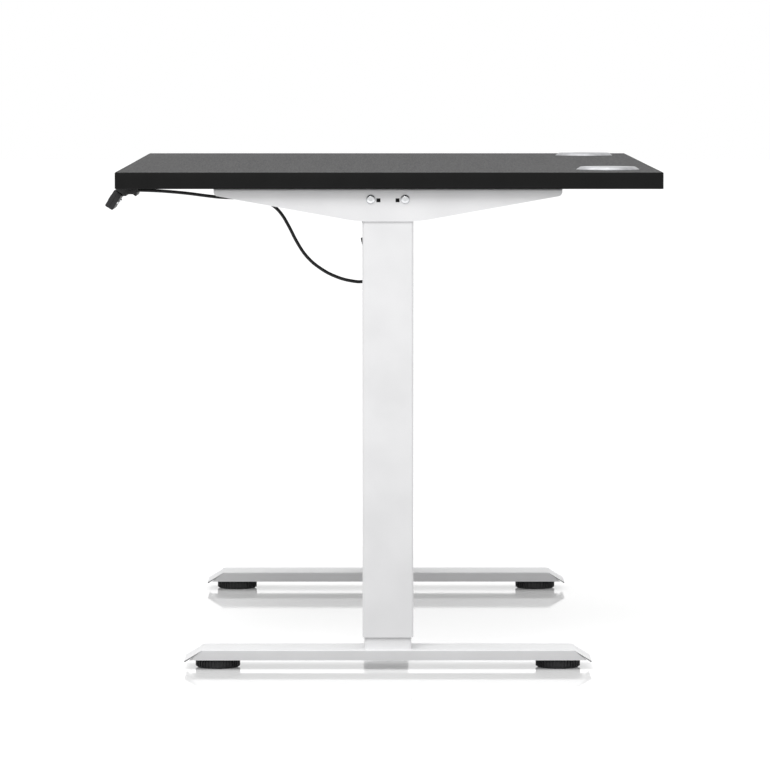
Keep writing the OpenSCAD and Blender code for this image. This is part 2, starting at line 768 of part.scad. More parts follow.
module control_box_lid() {
    color(black_plastic) at_columns() difference() {
        translate([0, 0, under - box_h]) linear_extrude(box_h / 2) box_outline(0);
        translate([0, 0, under - box_h + box_wall]) linear_extrude(box_h / 2)
            box_outline(box_wall);
        at_box_posts() translate([0, 0, under - box_h - 1])
            cylinder(10, d = screw_hole_d + hole_play);
    }
    color(black_plastic) at_columns() at_box_posts()
        translate([0, 0, under - box_h + box_wall - eps]) difference() {
            cylinder(box_h / 2 - box_wall, d = box_post);
            translate([0, 0, -1]) cylinder(box_h, d = screw_hole_d + hole_play);
        }
}
module control_board() {
    color(board_green) at_columns() translate([0, 0, box_split - 4]) {
        linear_extrude(board_t) difference() {
            box_outline(box_wall + 1);
            at_box_posts() circle(d = box_post + 1);
        }
        translate([box_x0 + 40, -box_front - 60, -6]) cube([30, 26, 6 + eps]);
        translate([box_x0 + 100, -box_front - 40, -7]) rotate(90) cylinder(7 + eps, d = 18);
        translate([box_x0 + 130, -box_front - 75, -5]) cube([60, 14, 5 + eps]);
    }
}
// A small pan-head screw pointing along +Z, its head's seat at z = 0.
module case_screw(l) {
    difference() {
        union() {
            translate([0, 0, -1.6]) cylinder(1.6, d1 = 3.6, d2 = case_screw_head_d);
            cylinder(l, d = screw_hole_d);
        }
        for (a = [0, 90]) rotate(a) translate([-1.1, -0.3, -1.7]) cube([2.2, 0.6, 0.9]);
    }
}
module case_screws() {
    color(bright_steel) {
        at_columns() at_box_posts() translate([0, 0, under - box_h])
            case_screw(box_h / 2 + 8);
        on_face() for (x = handset_screws) translate([x, face_t, key_z])
            rotate([90, 0, 0]) case_screw(9);
    }
}

// ---- Handset ----
// Local frame of the handset: x along it, y into its thickness, z up its face.
module on_face() {
    at_columns() translate([handset_x, face_low[0], face_low[1]])
        rotate([-face_lean, 0, 0]) children();
}
module slab(y0, y1, inset) {
    translate([0, y1, face_h / 2]) rotate([90, 0, 0]) linear_extrude(y1 - y0)
        rounded(handset_w - 2 * inset, face_h - 2 * inset, handset_corner_r - inset);
}
module key_hole(x, w) {
    translate([x - w / 2, -1, key_z - key_s / 2]) cube([w, 5, key_s]);
}
module handset_front_shell() {
    color(black_plastic) on_face() difference() {
        union() {
            difference() {
                slab(0, shell_split, 0);
                slab(shell_wall, shell_split + 1, shell_wall);
            }
            for (x = handset_screws) translate([x, shell_wall - eps, key_z])
                rotate([-90, 0, 0]) cylinder(shell_split - shell_wall, d = handset_post);
        }
        for (x = handset_screws) translate([x, 3, key_z])
            rotate([-90, 0, 0]) cylinder(9, d = screw_hole_d);
        key_hole(up_x, wide_key + 2 * gap);
        key_hole(down_x, wide_key + 2 * gap);
        key_hole(memory_1_x, key_s + 2 * gap);
        key_hole(memory_2_x, key_s + 2 * gap);
        translate([display_x - display_w / 2, -1, key_z - display_h / 2])
            cube([display_w, 5, display_h]);
    }
}
module handset_back_shell() {
    color(black_plastic) on_face() difference() {
        union() {
            difference() {
                slab(shell_split + gap, face_t, 0);
                slab(shell_split, face_t - shell_wall, shell_wall);
            }
            for (x = handset_screws) translate([x, shell_split + gap, key_z])
                rotate([-90, 0, 0]) cylinder(face_t - shell_split - 1, d = handset_post);
        }
        for (x = handset_screws) translate([x, 3, key_z])
            rotate([-90, 0, 0]) cylinder(20, d = screw_hole_d + hole_play);
    }
}
module display_window() {
    color("#101416") on_face()
        translate([display_x - display_w / 2 + 0.1, -0.2, key_z - display_h / 2 + 0.1])
            cube([display_w - 0.2, shell_wall, display_h - 0.2]);
}
// A key with a flange behind the shell's wall and a stem over its switch.
module key(x, w) {
    hole = key_s - 2 * gap;
    color(black_plastic) on_face() translate([x, 0, key_z]) {
        translate([-w / 2, -key_proud, -hole / 2])
            cube([w, key_proud + shell_wall + gap + eps, hole]);
        translate([-w / 2 - key_flange_w, shell_wall + gap, -hole / 2 - key_flange_w])
            cube([w + 2 * key_flange_w, key_flange_t, hole + 2 * key_flange_w]);
        translate([0, shell_wall + gap, 0]) rotate([-90, 0, 0]) cylinder(2, d = 3);
    }
}
module handset_board() {
    color(board_green) on_face() {
        difference() {
            slab(board_y, board_y + board_t, shell_wall + gap);
            for (x = handset_screws) translate([x, 0, key_z])
                rotate([-90, 0, 0]) cylinder(20, d = 7);
        }
        for (x = [up_x, down_x, memory_1_x, memory_2_x])
            translate([x - 3, shell_wall + gap + 2 + key_travel + 0.1, key_z - 3])
                cube([6, board_y - shell_wall - gap - 2 - key_travel - 0.1 + eps, 6]);
        translate([display_x - 10, shell_wall + 0.5, key_z - 5])
            cube([20, board_y - shell_wall - 0.5 + eps, 10]);
    }
}
mount_back = 28.1;
module handset_mount() {
    u = [sin(face_lean), cos(face_lean)];
    v = [cos(face_lean), -sin(face_lean)];
    top_front = face_low + (face_h + gap) * u;
    top_back = top_front + (face_t + gap) * v;
    color(black_plastic) at_columns() difference() {
        profile(handset_x - handset_w / 2, handset_x + handset_w / 2) polygon([
            [front_edge + 0.5, under], top_front + 3.4 * v, top_back,
            top_back - 3.2 * u, [front_edge + 13.3, under - 11.6],
            [front_edge + 13.3, under - 9.2], [front_edge + 22.5, under - 9.2],
            [front_edge + 25.8, under - 11.8], [front_edge + 27, under - 11.8],
            [front_edge + mount_back, under - 8], [front_edge + mount_back, under]
        ]);
        for (s = [-1, 1]) translate([handset_x + s * handset_w / 4, front_edge + mount_screw_in, 0]) {
            translate([0, 0, under - 20]) cylinder(20 - mount_grip, d = wood_head_d + 1);
            translate([0, 0, under - 20]) cylinder(21, d = wood_screw_d + hole_play);
        }
    }
}

// ---- Cable ----
module swept(points, d, n) {
    side = sides(points);
    last = len(points) - 1;
    verts = [for (i = [0:last], k = [0:n - 1])
        let (t = tangent(points, i), u = side[i], w = cross(t, u), a = 360 * k / n)
        points[i] + d / 2 * (cos(a) * u + sin(a) * w)];
    walls = [for (i = [0:last - 1], k = [0:n - 1])
        [i * n + k, i * n + (k + 1) % n, (i + 1) * n + (k + 1) % n, (i + 1) * n + k]];
    polyhedron(verts, concat([[for (k = [n - 1:-1:0]) k]], walls,
        [[for (k = [0:n - 1]) last * n + k]]), convexity = 10);
}
module handset_cable() {
    color(black_band) on_right() translate([0, 0, under]) {
        swept(spline(cable_from, 2), cable_d, 8);
        swept(spline(cable_to, 2), cable_d, 8);
    }
}
module cable_connector() {
    color(black_band) on_right() translate([0, 0, under]) translate(connector_low)
        rotate([connector_lean, 0, 0]) {
            linear_extrude(connector_l / 2 - gap) rounded(connector_s, connector_s, 1.5);
            translate([0, 0, connector_l / 2 - gap])
                linear_extrude(2 * gap) rounded(connector_s - 1, connector_s - 1, 1.2);
            translate([0, 0, connector_l / 2 + gap])
                linear_extrude(connector_l / 2 - gap) rounded(connector_s, connector_s, 1.5);
        }
}

// ---- Feet ----
flat_half = foot_l / 2 - foot_slope_l;
side_low = foot_h - foot_side_h - 1;
tip_drop = foot_h - side_low + 0.7;
side_half = foot_l / 2 - foot_lip;
glide_y = foot_l / 2 - glide_inset;
foot_bolt_pitch = 40;
foot_nut_h = 11;
foot_pad_l = 100;
foot_pad_t = 3;
module at_foot_bolts() {
    for (x = [-1, 1], y = [-1, 1]) translate([x * foot_bolt_pitch / 2, y * foot_bolt_pitch / 2])
        children();
}
module foot_skin(depth) {
    // the bent top sheet, seen from the side
    polygon([
        [-foot_l / 2, foot_h - tip_drop - depth * 0.4], [-foot_l / 2, foot_h - tip_drop],
        [-flat_half, foot_h], [flat_half, foot_h], [foot_l / 2, foot_h - tip_drop],
        [foot_l / 2, foot_h - tip_drop - depth * 0.4],
        [flat_half - 0.6, foot_h - depth], [-flat_half + 0.6, foot_h - depth]
    ]);
}
// A side wall along the foot, its lower edge leaning in under the top.
module leaning_wall(outer, wall, lean) {
    translate([0, side_half, 0]) rotate([90, 0, 0]) linear_extrude(2 * side_half) polygon([
        [outer, foot_h - foot_sheet / 2], [outer - lean, side_low],
        [outer - lean - wall, side_low], [outer - wall, foot_h - foot_sheet / 2]
    ]);
}
module foot() {
    color(steel_white) difference() {
        union() {
            profile(-foot_w / 2, foot_w / 2) foot_skin(foot_sheet);
            for (s = [-1, 1]) intersection() {
                profile(-foot_w / 2, foot_w / 2) polygon([
                    [-side_half, side_low], [side_half, side_low],
                    [flat_half + 2, foot_h - foot_sheet / 2 - 1],
                    [flat_half - 1, foot_h - foot_sheet / 2],
                    [-flat_half + 1, foot_h - foot_sheet / 2],
                    [-flat_half - 2, foot_h - foot_sheet / 2 - 1]
                ]);
                leaning_wall(s * foot_w / 2, s * foot_sheet, s * side_lean);
            }
            // a plate under the top that takes the column's bolts
            translate([-foot_w / 2 + 1, -foot_pad_l / 2, foot_h - foot_sheet - foot_pad_t])
                cube([foot_w - 2, foot_pad_l, foot_pad_t + eps]);
            for (s = [-1, 1]) translate([0, s * glide_y, foot_h - foot_sheet - foot_nut_h])
                cylinder(foot_nut_h + eps, d = stud_d * 1.9, $fn = 6);
        }
        translate([0, 0, foot_h - foot_sheet - foot_pad_t - 1])
            linear_extrude(foot_sheet + foot_pad_t + 2) at_foot_bolts() circle(d = bolt_d + hole_play);
        for (s = [-1, 1]) translate([0, s * glide_y, foot_h - foot_sheet - foot_nut_h - 1])
            cylinder(foot_nut_h + 1 - gap, d = stud_d + 2 * run_fit);
    }
}
module foot_bolts() {
    color(bright_steel) translate([0, 0, foot_h - foot_sheet - foot_pad_t]) at_foot_bolts()
        rotate([180, 0, 0]) button_bolt(foot_sheet + foot_pad_t + plate_t - 0.5);
}
module glide(side) {
    color(black_band) translate([0, side * glide_y, 0]) {
        cylinder(2.5, d1 = glide_d - 8, d2 = glide_d, $fn = 96);
        translate([0, 0, 2.5]) cylinder(glide_h - 2.5 - 0.8, d = glide_d, $fn = 96);
        translate([0, 0, glide_h - 0.8])
            cylinder(0.8, d1 = glide_d, d2 = glide_d - 1.6, $fn = 96);
        cylinder(foot_h - foot_sheet - 1.2, d = stud_d);
    }
}

desktop_board();
desktop_edge_band();
at_columns() translate([grommet_x, 0, 0]) grommet_liner();  // grommet_liner_right
at_columns() translate([-grommet_x, 0, 0]) grommet_liner();  // grommet_liner_left
at_columns() translate([grommet_x, 0, 0]) grommet_cap();  // grommet_cap_right
at_columns() translate([-grommet_x, 0, 0]) grommet_cap();  // grommet_cap_left
on_right() side_bracket();  // side_bracket_right
on_left_mirrored() side_bracket();  // side_bracket_left
frame_bolts();
wood_screws();
on_right() outer_tube(-1);  // outer_tube_right
on_left() outer_tube(1);  // outer_tube_left
on_right() lower_bush();  // lower_bush_right
on_left() lower_bush();  // lower_bush_left
on_right() gearbox(1);  // gearbox_right
on_left() gearbox(-1);  // gearbox_left
screw_bearings();
rail_right(-1);  // rail_front_right
rail_left(-1);  // rail_front_left
rail_right(1);  // rail_back_right
rail_left(1);  // rail_back_left
motor_gear_case();
motor_can();
motor_pinion();
drive_shaft();
shaft_gear();
bevel_pinions();
on_right() lead_screw();  // lead_screw_right
on_left() lead_screw();  // lead_screw_left
on_right() screw_bevel();  // screw_bevel_right
on_left() screw_bevel();  // screw_bevel_left
control_box_base();
control_box_lid();
control_board();
case_screws();
handset_mount();
handset_front_shell();
handset_back_shell();
display_window();
key(up_x, wide_key);  // key_up
key(down_x, wide_key);  // key_down
key(memory_1_x, key_s);  // key_memory_1
key(memory_2_x, key_s);  // key_memory_2
handset_board();
handset_cable();
cable_connector();
on_right() foot();  // foot_right
on_left_mirrored() foot();  // foot_left
on_right() inner_tube();  // inner_tube_right
on_left() inner_tube();  // inner_tube_left
on_right() lead_nut();  // lead_nut_right
on_left() lead_nut();  // lead_nut_left
on_right() upper_bush();  // upper_bush_right
on_left() upper_bush();  // upper_bush_left
on_right() foot_bolts();  // foot_bolts_right
on_left() foot_bolts();  // foot_bolts_left
on_right() glide(-1);  // glide_right_front
on_right() glide(1);  // glide_right_back
on_left() glide(-1);  // glide_left_front
on_left() glide(1);  // glide_left_back
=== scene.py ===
"""Looks of the height adjustable standing desk, seen from its right-hand end at its lowest height."""

import math

import bmesh
import bpy
from mathutils import Matrix, Vector


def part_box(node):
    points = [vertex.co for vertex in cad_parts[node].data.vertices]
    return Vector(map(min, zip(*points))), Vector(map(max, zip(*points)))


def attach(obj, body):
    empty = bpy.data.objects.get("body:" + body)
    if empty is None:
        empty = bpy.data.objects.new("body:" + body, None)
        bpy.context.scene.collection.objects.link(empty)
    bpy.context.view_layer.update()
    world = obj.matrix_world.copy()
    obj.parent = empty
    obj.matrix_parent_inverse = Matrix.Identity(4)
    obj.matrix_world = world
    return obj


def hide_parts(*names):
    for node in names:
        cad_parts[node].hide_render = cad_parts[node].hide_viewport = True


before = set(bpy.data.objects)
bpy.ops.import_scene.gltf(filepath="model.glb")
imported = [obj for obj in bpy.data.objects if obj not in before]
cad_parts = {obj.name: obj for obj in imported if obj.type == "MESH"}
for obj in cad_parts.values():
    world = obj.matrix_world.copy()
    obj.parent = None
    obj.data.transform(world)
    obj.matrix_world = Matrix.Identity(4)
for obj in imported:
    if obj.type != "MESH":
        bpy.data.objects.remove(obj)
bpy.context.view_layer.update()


# ---------------------------------------------------------------- camera
# It looks along the desk's width from beyond its right-hand end, with a long lens
# a little above the desktop, so that both columns and both feet line up behind one another.
lens = bpy.data.cameras.new("end_view")
lens.sensor_width = 36
lens.lens = 259.46
lens.dof.use_dof = False
camera = bpy.data.objects.new("end_view", lens)
camera.location = (8.3407, -0.01345, 0.8915)
# How far the view slopes down and turns aside, in radians.
down, aside = 0.0638, 0.0021
ahead = Vector((-math.cos(down) * math.cos(aside), math.cos(down) * math.sin(aside), -math.sin(down)))
camera.rotation_euler = ahead.to_track_quat("-Z", "Y").to_euler()
bpy.context.scene.collection.objects.link(camera)
bpy.context.scene.camera = camera


# ---------------------------------------------------------------- handset cable
# A round PVC-jacketed lead from the handset to the control box. It runs back under the desktop, droops
# on the right column's inner side, turns up through its in-line connector and passes the front rail.
def colour(text):
    """An sRGB hex as the linear colour that a shader takes."""
    parts = [int(text[i:i + 2], 16) / 255 for i in (1, 3, 5)]
    return [c / 12.92 if c <= 0.04045 else ((c + 0.055) / 1.055) ** 2.4 for c in parts] + [1]


def add(tree, kind, inputs=(), **settings):
    """A node with its settings, its inputs' constants and its links."""
    made = tree.nodes.new("ShaderNode" + kind)
    for name, value in settings.items():
        setattr(made, name, value)
    for name, value in dict(inputs).items():
        if isinstance(value, bpy.types.NodeSocket):
            tree.links.new(value, made.inputs[name])
        else:
            made.inputs[name].default_value = value
    return made


def grain(tree, size_mm, stretch=(1, 1, 1), detail=2):
    """Noise with spots of about size_mm, drawn out along the axes with a small stretch."""
    place = add(tree, "TexCoord").outputs["Object"]
    drawn = add(tree, "Mapping", {"Vector": place, "Scale": stretch}).outputs[0]
    return add(tree, "TexNoise", {"Vector": drawn, "Scale": 1000 / size_mm, "Detail": detail}).outputs[0]


def finish(name, slot, dark, light, rough, spots_mm, relief_mm, depth_mm, stretch=(1, 1, 1), **sockets):
    """A finish: its colour and its roughness each wander between two values, over a fine relief."""
    made = bpy.data.materials.new(name)
    made["slot"] = slot
    made.use_nodes = True
    tree = made.node_tree
    tree.nodes.clear()
    spots = grain(tree, spots_mm, stretch)
    fine = grain(tree, relief_mm, stretch)
    ramp = add(tree, "ValToRGB", {"Fac": spots})
    for end, place, text in zip(ramp.color_ramp.elements, (0.3, 0.7), (dark, light)):
        end.position = place
        end.color = colour(text)
    gloss = add(tree, "MapRange", {"Value": fine, "From Min": 0.3, "From Max": 0.7,
                                   "To Min": rough[0], "To Max": rough[1]})
    relief = add(tree, "Bump", {"Height": fine, "Distance": depth_mm / 1000})
    shader = add(tree, "BsdfPrincipled", {
        "Base Color": ramp.outputs["Color"], "Roughness": gloss.outputs[0],
        "Normal": relief.outputs[0], **{k.replace("_", " "): v for k, v in sockets.items()}})
    add(tree, "OutputMaterial", {"Surface": shader.outputs[0]})
    return made


# Soft black PVC: dull, with a broad weak highlight along the jacket.
cable_pvc = finish("black_pvc_jacket", "cable_black", "#121213", "#19191A", (0.5, 0.62), 9, 0.8, 0.02,
                   Specular_IOR_Level=0.3)

# The route's points, in mm from the right column's axis and the board's underside.
route = [
    (-57, -351, -4.5), (-57, -330, -5.2), (-57, -309, -6.5), (-57, -280, -9.2),
    (-57, -257, -12.2), (-57, -238, -14.3), (-57, -219, -15.2), (-57, -200, -16.1),
    (-57, -183, -18.2), (-57, -169, -22), (-57, -158, -29), (-57, -149, -39), (-57, -140, -54),
    (-57, -127, -79), (-57, -114, -98), (-57, -95, -114.5), (-57, -71, -127),
    (-57, -50, -132.5), (-58, -37, -133.5), (-61.5, -27, -131.5), (-67, -20, -126),
    (-72, -18.5, -117.5), (-75, -22, -106), (-75, -32, -70), (-76, -32.3, -63),
    (-79.5, -32.8, -54.5), (-86, -35.5, -46), (-95, -41, -36.5), (-105, -50, -25),
    (-115, -60, -15), (-127, -68, -9.8), (-140, -70, -9), (-154, -70, -9)]
column_x, column_y, underside = 0.5574, 0.00695, 0.672
cable_r = 0.0023
line = bpy.data.curves.new("handset_lead", "CURVE")
line.dimensions = "3D"
line.bevel_depth = cable_r
line.bevel_resolution = 4
line.resolution_u = line.render_resolution_u = 4
line.use_fill_caps = True
spline = line.splines.new("BEZIER")
spline.bezier_points.add(len(route) - 1)
for knot, (x, y, z) in zip(spline.bezier_points, route):
    knot.co = (column_x + x / 1000, column_y + y / 1000, underside + z / 1000)
    knot.handle_left_type = knot.handle_right_type = "AUTO"
line.materials.append(cable_pvc)
lead = bpy.data.objects.new("handset_lead", line)
bpy.context.scene.collection.objects.link(lead)
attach(lead, "top_frame")
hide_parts("handset_cable")


# ---------------------------------------------------------------- cable connector
# The lead's in-line plug and socket: two moulded black shells pushed together, ribbed for grip,
# with a short strain relief where the cable goes in at each end.
def rounded(bm, geom, radius, segments, affect="EDGES"):
    """Rounds edges or corners off."""
    bmesh.ops.bevel(bm, geom=geom, offset=radius, segments=segments, profile=0.5, affect=affect,
                    material=-1)


def box(bm, low, high, bevel=0, segments=2, chosen=lambda e: True):
    """A block between two corners, with its chosen edges rounded. Gives back its faces."""
    low, high = Vector(low), Vector(high)
    place = Matrix.Translation((low + high) / 2) @ Matrix.Diagonal((high - low).to_4d())
    old = set(bm.faces)
    verts = bmesh.ops.create_cube(bm, size=1, matrix=place)["verts"]
    edges = {e for v in verts for e in v.link_edges if chosen(e)}
    if bevel:
        rounded(bm, list(edges), bevel, segments)
    return [f for f in bm.faces if f not in old]


def turned(bm, outline, steps=64, axis_at=(0, 0, 0)):
    """A turned shape: an outline of (radius, height) points spun about a vertical axis."""
    at = Vector(axis_at)
    verts = [bm.verts.new(at + Vector((r, 0, z))) for r, z in outline]
    edges = [bm.edges.new(pair) for pair in zip(verts, verts[1:])]
    bmesh.ops.spin(bm, geom=verts + edges, cent=at, axis=(0, 0, 1), angle=math.tau, steps=steps,
                   use_merge=True)


def piece(name, bm, material, body, *stands_for, place=Matrix(), marks=None):
    """Closes the shape, puts it in place, and makes it a piece that rides on a body."""
    bmesh.ops.transform(bm, matrix=place, verts=bm.verts)
    bmesh.ops.remove_doubles(bm, verts=bm.verts, dist=2e-6)
    bmesh.ops.recalc_face_normals(bm, faces=bm.faces)
    mesh = bpy.data.meshes.new(name)
    bm.to_mesh(mesh)
    bm.free()
    mesh.shade_smooth()
    mesh.set_sharp_from_angle(angle=math.radians(32))
    for used in [material] + ([marks] if marks else []):
        mesh.materials.append(used)
    made = bpy.data.objects.new(name, mesh)
    bpy.context.scene.collection.objects.link(made)
    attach(made, body)
    if stands_for:
        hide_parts(*stands_for)
    return made


# Moulded ABS with a fine spark-eroded grain that breaks up the highlight.
abs_black = finish("textured_black_abs", "abs_black", "#1F1F20", "#272728", (0.45, 0.6), 14, 0.7, 0.03,
                   Specular_IOR_Level=0.35)

bm = bmesh.new()
shell_half, neck_half, rib_half = 0.0065, 0.006, 0.0069
for low, high in ((0, 0.0177), (0.0183, 0.036)):
    box(bm, (-shell_half, -shell_half, low), (shell_half, shell_half, high), 0.0014, 3)
box(bm, (-neck_half, -neck_half, 0.0175), (neck_half, neck_half, 0.0185))
for z in (0.004, 0.007, 0.010, 0.0245, 0.0275, 0.0305):
    box(bm, (-rib_half, -rib_half, z), (rib_half, rib_half, z + 0.0012), 0.0004)
turned(bm, [(0, -0.005), (0.0028, -0.005), (0.0036, 0.001), (0, 0.001)], 24)
turned(bm, [(0, 0.035), (0.0031, 0.035), (0.0027, 0.040), (0, 0.040)], 24)
plug = piece("lead_connector", bm, abs_black, "top_frame", "cable_connector",
             place=Matrix.Translation((column_x - 0.075, column_y - 0.0225, underside - 0.1055))
             @ Matrix.Rotation(math.radians(15.5), 4, "X"))


# ---------------------------------------------------------------- desktop board
# A 23 mm chipboard panel faced with black laminate, drilled for two cable grommets near the back edge.
# Black melamine laminate: dull at a steep angle, silvery at a grazing one, with long faint brush streaks.
laminate = finish("black_laminate", "laminate_black", "#151516", "#1D1D1E", (0.5, 0.6), 26, 1.4, 0.02,
                  stretch=(0.03, 1, 1), Specular_IOR_Level=0.16)

board_half, board_depth_half, board_y = 0.6095, 0.381, 0.00855
board_t = 0.023
top_z = underside + board_t
corner_r, band = 0.004, 0.002
grommet_x, grommet_y = 0.45, 0.31855
seat_r, seat_depth, hole_r = 0.0448, 0.0005, 0.04

bm = bmesh.new()
corners = [bm.verts.new((x * (board_half - band), y * (board_depth_half - band) + board_y, top_z))
           for x, y in ((-1, -1), (1, -1), (1, 1), (-1, 1))]
bm.faces.new(corners)
rounded(bm, corners, corner_r - band, 4, "VERTICES")
bmesh.ops.delete(bm, geom=bm.faces[:], context="FACES_ONLY")
rims = [bm.edges[:]]
for x in (-grommet_x, grommet_x):
    seat = bmesh.ops.create_circle(bm, segments=96, radius=seat_r,
                                   matrix=Matrix.Translation((x, grommet_y, top_z)))
    rims.append(list({e for v in seat["verts"] for e in v.link_edges}))
bmesh.ops.triangle_fill(bm, use_beauty=True, use_dissolve=False, edges=bm.edges[:])


def carry(bm, edges, move):
    """Draws a loop of edges out into a band of faces, moved by a matrix. Gives back the new loop."""
    made = bmesh.ops.extrude_edge_only(bm, edges=edges)["geom"]
    bmesh.ops.transform(bm, matrix=move, verts=[v for v in made if isinstance(v, bmesh.types.BMVert)])
    return [e for e in made if isinstance(e, bmesh.types.BMEdge)
            and all(v in made for v in e.verts)]


lower_rims = carry(bm, rims[0], Matrix.Translation((0, 0, -board_t)))
for x, rim in zip((-grommet_x, grommet_x), rims[1:]):
    rim = carry(bm, rim, Matrix.Translation((0, 0, -seat_depth)))
    there = Matrix.Translation((x, grommet_y, 0))
    rim = carry(bm, rim, there @ Matrix.Diagonal((hole_r / seat_r, hole_r / seat_r, 1, 1)) @ there.inverted())
    lower_rims += carry(bm, rim, Matrix.Translation((0, 0, seat_depth - board_t)))
bmesh.ops.triangle_fill(bm, use_beauty=True, use_dissolve=False, edges=lower_rims)
piece("laminated_board", bm, laminate, "top_frame", "desktop_board")


# ---------------------------------------------------------------- edge band
# A 2 mm ABS band glued round the board's edge, its corners wrapped and its arrises scraped round.
# Satin black ABS edging: even and a little darker than the laminate.
edging = finish("satin_black_edging", "edge_band_black", "#0C0C0C", "#101010", (0.5, 0.6), 40, 1.1, 0.015,
                Specular_IOR_Level=0.14)


def upright(edge):
    """Whether an edge stands along Z."""
    a, b = (v.co for v in edge.verts)
    return abs(a.z - b.z) > 0.9 * (a - b).length


def drop(bm, wanted):
    """Takes away the faces that wanted picks."""
    bmesh.ops.delete(bm, geom=[f for f in bm.faces if wanted(f)], context="FACES")


def thicken(bm, wall):
    """Gives a sheet its wall, behind its outer face."""
    bmesh.ops.remove_doubles(bm, verts=bm.verts, dist=2e-6)
    bmesh.ops.solidify(bm, geom=bm.faces[:], thickness=wall)


bm = bmesh.new()
box(bm, (-board_half, board_y - board_depth_half, underside),
    (board_half, board_y + board_depth_half, top_z), corner_r, 5, upright)
rims = [e for e in bm.edges if abs(e.verts[0].co.z - e.verts[1].co.z) < 1e-6]
rounded(bm, rims, 0.0009, 3)
drop(bm, lambda f: abs(f.normal.z) > 0.99)
thicken(bm, 0.0018)
piece("edge_band", bm, edging, "top_frame", "desktop_edge_band")


# ---------------------------------------------------------------- grommets
# Die-cast cable grommets: a bevelled flange sunk into the board's hole, with a turning cap in it
# whose notch lets the cables through. The throat below the cap is painted flat black: painted shade,
# standing in for the shade inside the notch.
# Satin nickel plating: soft grey metal, its fine turned grain spreading the highlights.
satin_nickel = finish("satin_nickel_plate", "satin_metal", "#A6A7A9", "#BBBCBE", (0.36, 0.46), 11, 0.5, 0.008,
                      Metallic=1.0)
# Painted shade: flat matt black on the throat, standing in for the shade that keeps the notch dark.
throat_painted_shade = finish("throat_black_painted_shade", "satin_metal", "#161617", "#1D1D1E", (0.6, 0.7), 8, 0.6, 0.01)

both_sides = ((1, "right"), (-1, "left"))
cap_r, cap_t, cap_rise = 0.035, 0.0026, 0.0017
notch_half, notch_back = 0.012, -0.015


def pull(bm, move):
    """Draws all faces out into a solid."""
    made = bmesh.ops.extrude_face_region(bm, geom=bm.faces[:])["geom"]
    bmesh.ops.translate(bm, vec=move, verts=[v for v in made if isinstance(v, bmesh.types.BMVert)])


for side, word in both_sides:
    at = (side * grommet_x, grommet_y, top_z)
    bm = bmesh.new()
    turned(bm, [(0.0445, -0.0005), (0.0445, 0.0007), (0.0443, 0.0010), (0.0394, 0.0040), (0.0388, 0.0043),
                (0.0357, 0.0043), (0.0353, 0.0039), (0.0353, 0.0014), (0.032, 0.0014), (0.032, -0.022),
                (0.0397, -0.022), (0.0397, -0.0005), (0.0445, -0.0005)], 96, at)
    for face in bm.faces:
        middle = face.calc_center_median()
        # The throat's faces below the cap take the painted shade as their second material.
        face.material_index = int(math.dist(middle.xy, at[:2]) < 0.0345 and middle.z < at[2] + 0.0015)
    piece("grommet_ring." + word, bm, satin_nickel, "top_frame", "grommet_liner_" + word, marks=throat_painted_shade)

    bm = bmesh.new()
    bmesh.ops.create_circle(bm, cap_ends=True, segments=96, radius=cap_r)
    for point, normal in (((-notch_half, 0, 0), (1, 0, 0)), ((notch_half, 0, 0), (1, 0, 0)),
                          ((0, notch_back, 0), (0, 1, 0))):
        bmesh.ops.bisect_plane(bm, geom=bm.verts[:] + bm.edges[:] + bm.faces[:], dist=1e-7,
                               plane_co=point, plane_no=normal)
    drop(bm, lambda f: abs(f.calc_center_median().x) < notch_half and f.calc_center_median().y < notch_back)
    bmesh.ops.dissolve_faces(bm, faces=bm.faces[:])
    pull(bm, (0, 0, cap_t))
    bmesh.ops.recalc_face_normals(bm, faces=bm.faces)
    rim = [e for e in bm.edges if all(v.co.z > cap_t - 1e-4 for v in e.verts)]
    rounded(bm, rim, 0.0005, 2)
    skirt = [(0.0317, 0.0001), (0.0317, -0.005), (0.030, -0.005), (0.030, 0.0001)]
    turned(bm, skirt, 64)
    piece("grommet_cap." + word, bm, satin_nickel, word + "_cap", "grommet_cap_" + word,
          place=Matrix.Translation((at[0], at[1], top_z + cap_rise)))


# ---------------------------------------------------------------- side brackets
# A pressed steel plate at each end of the desktop: a web with a sloped lower edge, bolted to the column,
# and a flange folded over under the board. Square holes let a driver reach the gearbox.
# White powder coat: bright and even, with a fine orange peel that softens its reflections.
powder_white = finish("white_powder_coat", "powder_white", "#E0E0E1", "#E6E6E7", (0.34, 0.44), 60, 1.6, 0.012)


def open_up(bm, low, high, axis):
    """Cuts an opening, from low to high, through the faces that face along an axis."""
    for other in {0, 1, 2} - {axis}:
        for edge in (low, high):
            normal = Vector((0, 0, 0))
            normal[other] = 1
            flat = [f for f in bm.faces if abs(f.normal[axis]) > 0.9]
            near = set(flat) | {e for f in flat for e in f.edges} | {v for f in flat for v in f.verts}
            bmesh.ops.bisect_plane(bm, geom=list(near), dist=1e-7, plane_co=edge, plane_no=normal)
    drop(bm, lambda f: abs(f.normal[axis]) > 0.9
         and all(a <= c <= b for a, c, b in zip(low, f.calc_center_median(), high)))


def face_out(bm, way):
    """Turns an open sheet so that its largest face looks the given way."""
    bmesh.ops.recalc_face_normals(bm, faces=bm.faces)
    if max(bm.faces, key=lambda f: f.calc_area()).normal.dot(Vector(way)) < 0:
        bmesh.ops.reverse_faces(bm, faces=bm.faces)


def driver_holes(bm, x, middle_y):
    """Cuts the two square driver holes through a wall that faces along X."""
    for y in (middle_y - driver_y, middle_y + driver_y):
        open_up(bm, (x - 0.005, y - driver_half, driver_z - driver_half),
                (x + 0.005, y + driver_half, driver_z + driver_half), 0)


bracket_x, flange_w, bracket_t = 0.595, 0.06, 0.0021
bracket_half, bend_half = 0.2425, 0.0424
end_low, middle_low = -0.0095, -0.0455
driver_y, driver_z, driver_half = 0.0133, 0.656, 0.00275

